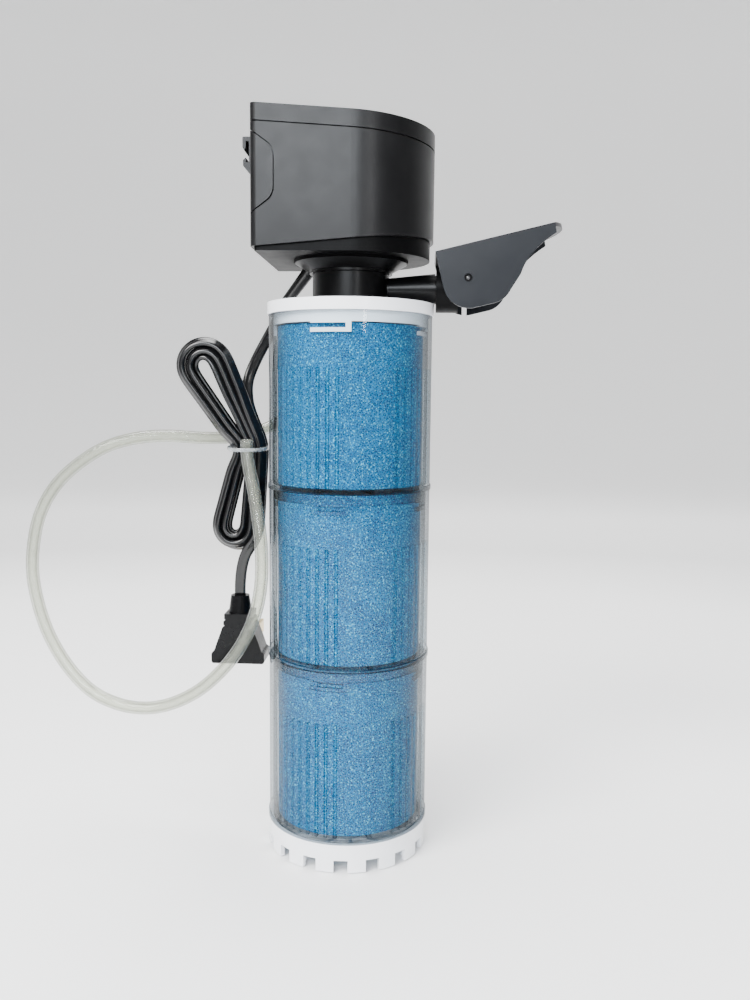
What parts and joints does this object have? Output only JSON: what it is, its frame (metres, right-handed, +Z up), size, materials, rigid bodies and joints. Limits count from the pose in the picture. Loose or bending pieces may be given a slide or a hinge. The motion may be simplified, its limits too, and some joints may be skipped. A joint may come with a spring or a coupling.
{
  "type": "internal power filter",
  "caption": "Submersible aquarium power filter: pump head with tilting outlet nozzle on a column of clear cups with foam cartridges.",
  "frame": {"origin": "centre of the foot's underside, on the column's axis, where the filter stands", "axes": "+Z up along the column's axis, +X towards the water outlet, -Y towards the shell's plain flank"},
  "size_m": [0.2485, 0.0909, 0.3331],
  "materials": {
    "clear_cup": "clear acrylic",
    "foam": "open-cell blue foam",
    "white_plastic": "glossy white",
    "black_plastic": "satin black",
    "dark_plastic": "moulded dark grey",
    "rubber_bush": "black rubber",
    "ceramic": "ceramic shaft, white",
    "ferrite": "ferrite magnet",
    "light_plastic": "pale moulded plastic",
    "core_steel": "laminated steel",
    "copper_wire": "enamelled copper winding",
    "resin": "dark potting resin",
    "cord_black": "glossy flat cord",
    "tie_silver": "thin silvery tie",
    "blade_metal": "plated brass blade",
    "hose_clear": "translucent hose"
  },
  "bodies": {
    "foot": {"foot": "white_plastic"},
    "cup_3": {"cup_3": "clear_cup", "sponge_3": "foam"},
    "cup_2": {"cup_2": "clear_cup", "sponge_2": "foam"},
    "cup_1": {"cup_1": "clear_cup", "sponge_1": "foam"},
    "cap": {"top_cap": "white_plastic"},
    "head": {"volute_housing": "black_plastic", "inlet_spider": "dark_plastic", "lower_bush": "rubber_bush", "upper_bush": "rubber_bush", "rotor_shaft": "ceramic", "rotor_well": "dark_plastic", "stator_core": "core_steel", "coil_bobbins": "light_plastic", "coil_windings": "copper_wire", "resin_fill": "resin", "base_cover": "black_plastic", "head_shell": "black_plastic", "head_top_cover": "black_plastic", "rear_panel": "black_plastic", "cord_gland": "cord_black", "cord_lead": "cord_black", "cord_hank": "cord_black", "cord_tail": "cord_black", "twist_tie": "tie_silver", "plug_body": "cord_black", "plug_blades": "blade_metal", "air_hose": "hose_clear"},
    "rotor": {"rotor_magnet": "ferrite", "impeller": "light_plastic"},
    "barrel": {"nozzle_barrel": "black_plastic"},
    "hood": {"nozzle_hood": "black_plastic"}
  },
  "joints": [
    {"name": "foot_twist", "type": "hinge", "parent": "foot", "child": "cup_3", "pos_m": [0, 0, 0.05], "axis": [0, 0, 1], "range_deg": [0, 26]},
    {"name": "cup_3_twist", "type": "hinge", "parent": "cup_3", "child": "cup_2", "pos_m": [0, 0, 0.05], "axis": [0, 0, 1], "range_deg": [0, 26]},
    {"name": "cup_2_twist", "type": "hinge", "parent": "cup_2", "child": "cup_1", "pos_m": [0, 0, 0.05], "axis": [0, 0, 1], "range_deg": [0, 26]},
    {"name": "cap_twist", "type": "hinge", "parent": "cup_1", "child": "cap", "pos_m": [0, 0, 0.05], "axis": [0, 0, 1], "range_deg": [0, 26]},
    {"name": "head_lift", "type": "slide", "parent": "cap", "child": "head", "axis": [0, 0, 1], "range_m": [0, 0.012]},
    {"name": "impeller_spin", "type": "hinge", "parent": "head", "child": "rotor", "pos_m": [0, 0, 0.26], "axis": [0, 0, 1], "continuous": true},
    {"name": "nozzle_swivel", "type": "hinge", "parent": "head", "child": "barrel", "pos_m": [0.04, 0, 0.2608], "axis": [1, 0, 0], "range_deg": [-90, 90]},
    {"name": "hood_tilt", "type": "hinge", "parent": "barrel", "child": "hood", "pos_m": [0.0525, 0, 0.2641], "axis": [0, -1, 0], "range_deg": [-27, 2]}
  ]
}
